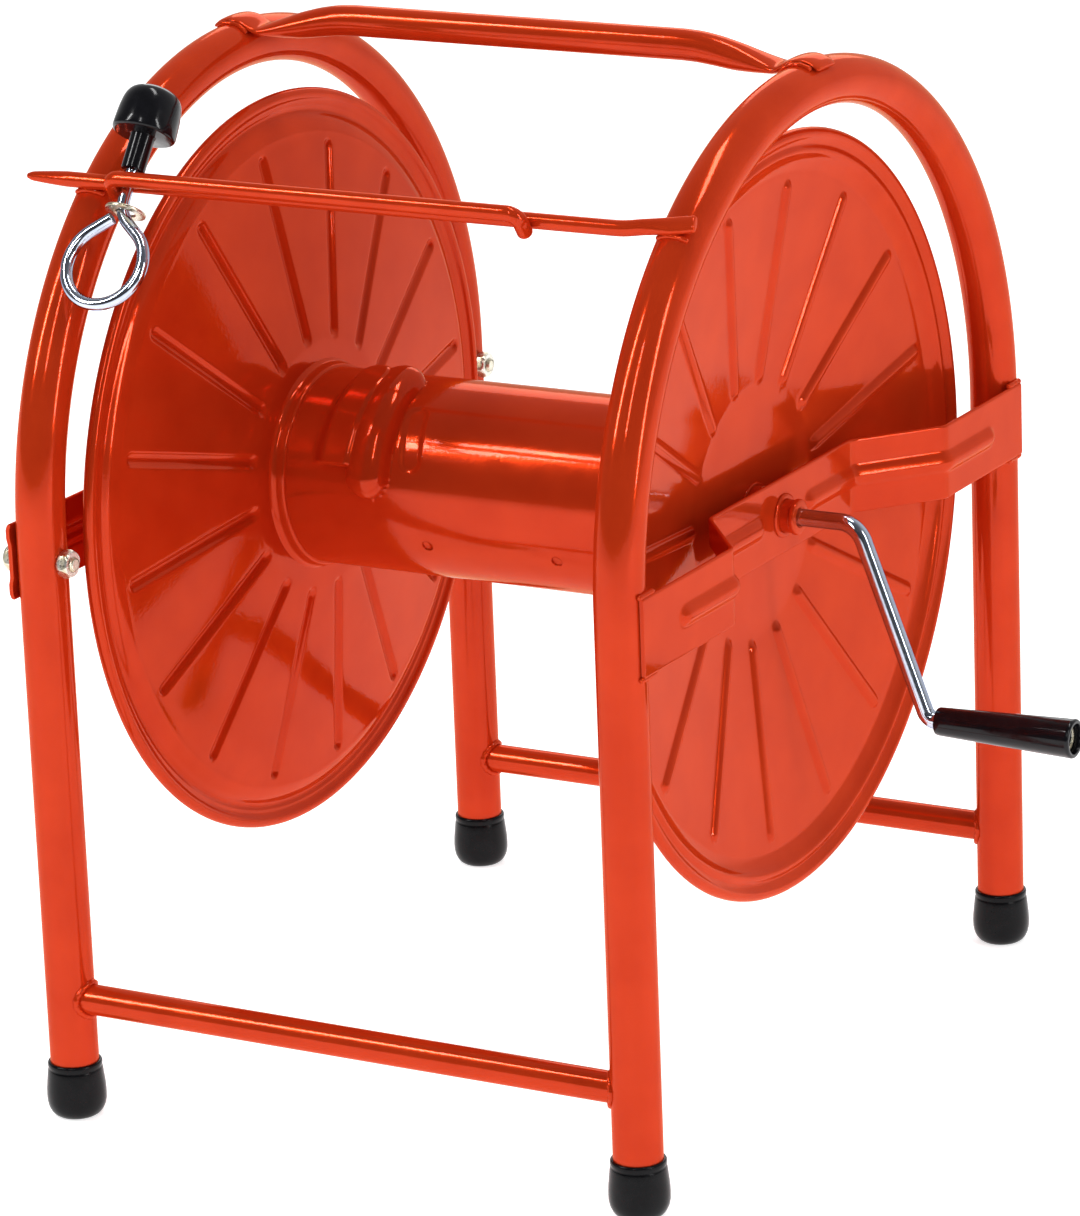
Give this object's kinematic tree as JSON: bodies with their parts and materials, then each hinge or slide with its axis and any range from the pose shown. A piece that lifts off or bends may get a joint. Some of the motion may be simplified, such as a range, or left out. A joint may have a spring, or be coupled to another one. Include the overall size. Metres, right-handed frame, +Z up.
{
  "type": "hose reel",
  "caption": "Hand-cranked hose reel: a drum between ribbed flanges on an axle in a welded tube stand with rubber feet, carrying handle and a sliding hose guide eye.",
  "frame": {"origin": "on the floor straight below the middle of the drum", "axes": "+X along the drum axis towards the crank, +Y from front to back, +Z up"},
  "size_m": [0.5104, 0.4582, 0.5495],
  "materials": {
    "red_paint": "gloss",
    "foot_rubber": "matte",
    "zinc_steel": "satin",
    "chrome": "polished",
    "black_plastic": "gloss"
  },
  "bodies": {
    "stand": {"left_arch_tube": "red_paint", "right_arch_tube": "red_paint", "front_crossbar": "red_paint", "rear_crossbar": "red_paint", "carry_handle": "red_paint", "guide_rod": "red_paint", "guide_slot_rod": "red_paint", "foot_front_left": "foot_rubber", "foot_rear_left": "foot_rubber", "foot_front_right": "foot_rubber", "foot_rear_right": "foot_rubber", "left_bracket": "red_paint", "right_bracket": "red_paint", "bracket_bolts": "zinc_steel", "bracket_nuts": "zinc_steel", "left_bush": "red_paint", "right_bush": "red_paint"},
    "reel": {"left_flange": "red_paint", "right_flange": "red_paint", "drum_tube": "red_paint", "left_hub_collar": "red_paint", "right_hub_collar": "red_paint", "axle_tube": "red_paint", "left_cross_pin": "zinc_steel", "right_cross_pin": "zinc_steel", "axle_washer": "zinc_steel", "axle_cotter": "zinc_steel", "crank_socket": "red_paint", "crank_rod": "chrome", "grip_washer": "zinc_steel"},
    "grip": {"crank_grip": "black_plastic"},
    "guide_slider": {"guide_knob": "black_plastic"},
    "guide": {"guide_eye": "chrome", "guide_washer": "zinc_steel"}
  },
  "joints": [
    {"name": "reel_spin", "type": "hinge", "parent": "stand", "child": "reel", "pos_m": [0, 0, 0.3], "axis": [1, 0, 0], "continuous": true},
    {"name": "grip_spin", "type": "hinge", "parent": "reel", "child": "grip", "pos_m": [0.27, 0, 0.2], "axis": [1, 0, 0], "continuous": true},
    {"name": "guide_slide", "type": "slide", "parent": "stand", "child": "guide_slider", "axis": [1, 0, 0], "range_m": [0, 0.219]},
    {"name": "guide_turn", "type": "hinge", "parent": "guide_slider", "child": "guide", "pos_m": [-0.1362, -0.15945, 0.4869], "axis": [0, 0.5878, 0.809], "range_deg": [0, 110]}
  ]
}
